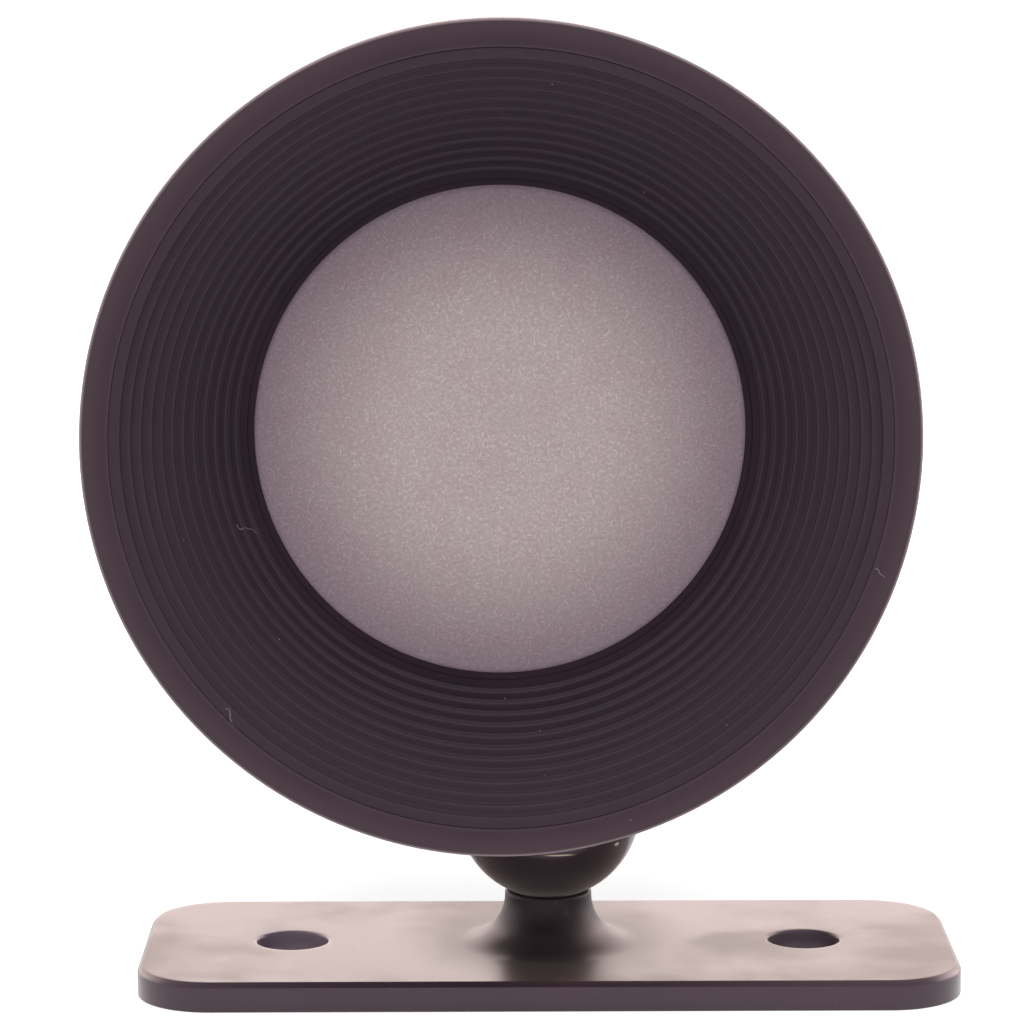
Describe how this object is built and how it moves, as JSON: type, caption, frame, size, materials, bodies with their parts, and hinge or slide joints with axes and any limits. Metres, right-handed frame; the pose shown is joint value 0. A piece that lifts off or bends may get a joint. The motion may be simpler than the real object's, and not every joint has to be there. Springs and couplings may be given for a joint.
{
  "type": "magnetic spotlight",
  "caption": "Round spotlight head with a stepped glare baffle and frosted diffuser, held by a magnetic ball seat on a short post with a screw-down base plate.",
  "frame": {"origin": "centre of the base plate's underside, midway between its two screw holes", "axes": "+Z out of the plate along the post, X along the plate through both screw holes, the light shines towards -Y at rest"},
  "size_m": [0.0521, 0.0299, 0.059],
  "materials": {
    "plate_coat": "satin",
    "ball_gloss": "gloss",
    "screw_steel": "satin",
    "liner_plastic": "matte",
    "pot_steel": "satin",
    "magnet_nickel": "gloss",
    "rim_coat": "satin",
    "baffle_coat": "matte",
    "housing_coat": "satin",
    "diffuser_frosted": "frosted",
    "gasket_rubber": "matte",
    "reflector_white": "satin",
    "emitter_phosphor": "matte",
    "dam_white": "matte",
    "board_white": "satin",
    "pad_grey": "matte",
    "lead_insulation": "satin",
    "board_green": "satin",
    "ferrite_black": "matte",
    "can_aluminium": "satin",
    "chip_black": "matte",
    "socket_black": "satin",
    "contact_brass": "polished",
    "nut_nickel": "gloss"
  },
  "bodies": {
    "base": {"base_plate": "plate_coat", "spring_washer": "screw_steel"},
    "swivel": {"swivel_ball": "ball_gloss", "ball_screw": "screw_steel"},
    "liner": {"friction_liner": "liner_plastic"},
    "head": {"magnet_pot": "pot_steel", "ring_magnet": "magnet_nickel", "bezel_ring": "rim_coat", "stepped_baffle": "baffle_coat", "diffuser_lens": "diffuser_frosted", "lens_gasket": "gasket_rubber", "housing": "housing_coat", "reflector": "reflector_white", "emitter": "emitter_phosphor", "emitter_dam": "dam_white", "lamp_board": "board_white", "thermal_pad": "pad_grey", "board_screws": "screw_steel", "lamp_leads": "lead_insulation", "driver_board": "board_green", "driver_screws": "screw_steel", "driver_inductor": "ferrite_black", "driver_capacitors": "can_aluminium", "driver_chips": "chip_black", "rear_cover": "housing_coat", "cover_gasket": "gasket_rubber", "cover_screws": "screw_steel", "power_inlet": "socket_black", "inlet_pin": "contact_brass", "inlet_nut": "nut_nickel", "inlet_posts": "contact_brass"}
  },
  "joints": [
    {"name": "pan", "type": "hinge", "parent": "base", "child": "swivel", "pos_m": [0, 0, 0.0103], "axis": [0, 0, 1], "continuous": true},
    {"name": "tilt", "type": "hinge", "parent": "swivel", "child": "liner", "pos_m": [0, 0, 0.0103], "axis": [1, 0, 0], "range_deg": [-35, 25]},
    {"name": "lean", "type": "hinge", "parent": "liner", "child": "head", "pos_m": [0, 0, 0.0103], "axis": [0, 1, 0], "range_deg": [-20, 34]}
  ]
}
